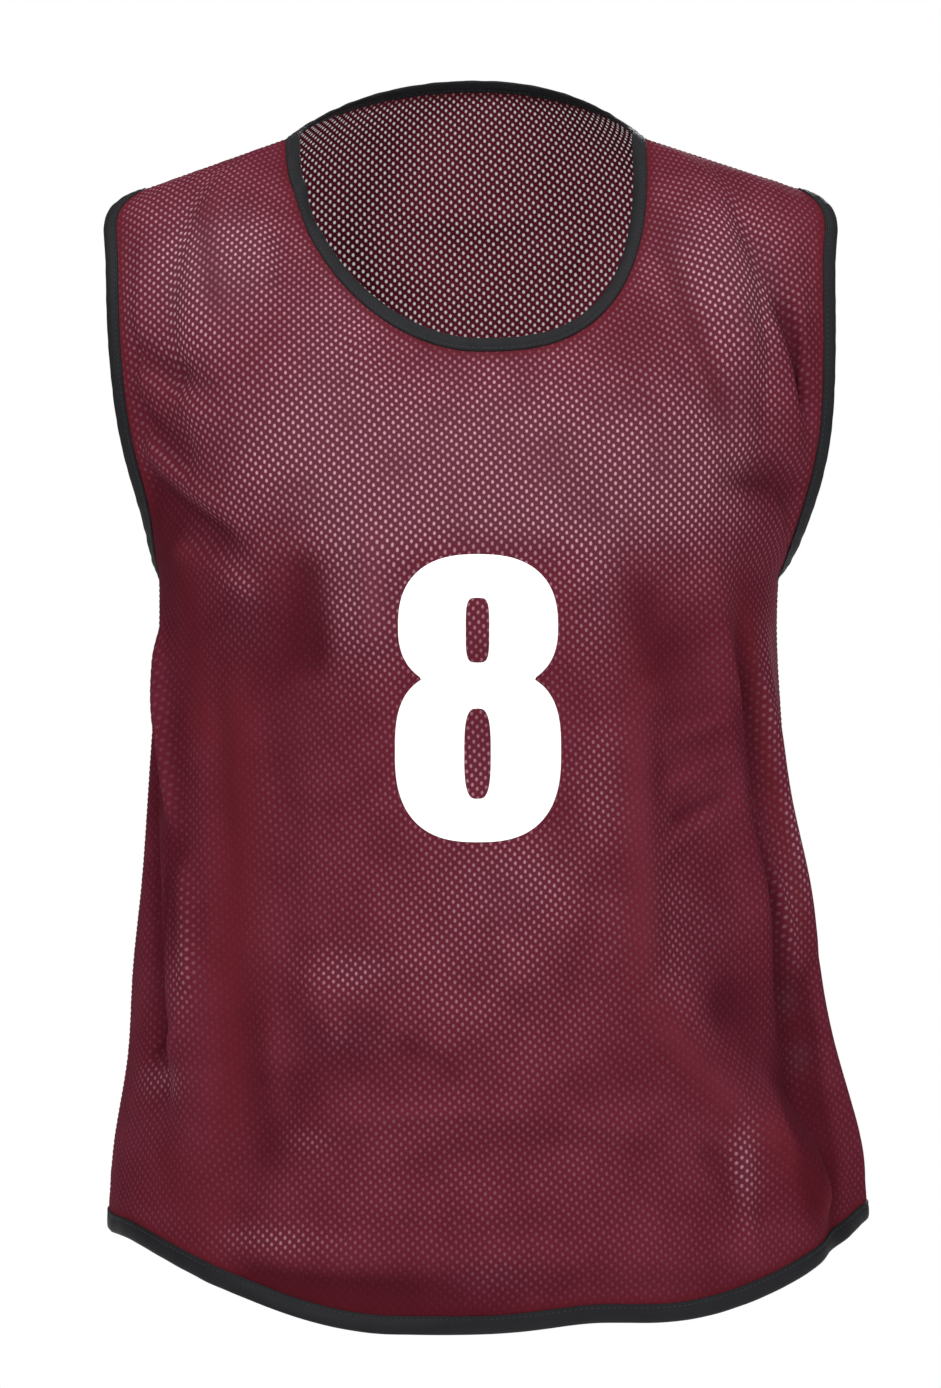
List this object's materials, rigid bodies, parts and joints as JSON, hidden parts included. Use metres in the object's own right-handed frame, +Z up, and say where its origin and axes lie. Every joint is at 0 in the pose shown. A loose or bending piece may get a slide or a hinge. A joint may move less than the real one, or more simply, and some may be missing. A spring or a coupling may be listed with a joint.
{
  "type": "mesh training bib",
  "caption": "Sleeveless mesh training bib, worn and hollow, with a round neck, deep armholes and a curved hem, all edged with woven tape.",
  "frame": {"origin": "midway between the two neck points, at their height, where the wearer's shoulders carry the bib", "axes": "+Z up the wearer's body, -Y the way the wearer faces, +X to the wearer's left"},
  "size_m": [0.4541, 0.2751, 0.7445],
  "materials": {
    "mesh_cloth": "satin",
    "binding_tape": "matte"
  },
  "bodies": {
    "root": {"front_panel": "mesh_cloth", "back_panel": "mesh_cloth", "neck_binding": "binding_tape", "armhole_binding_right": "binding_tape", "armhole_binding_left": "binding_tape", "hem_binding": "binding_tape"}
  },
  "joints": []
}
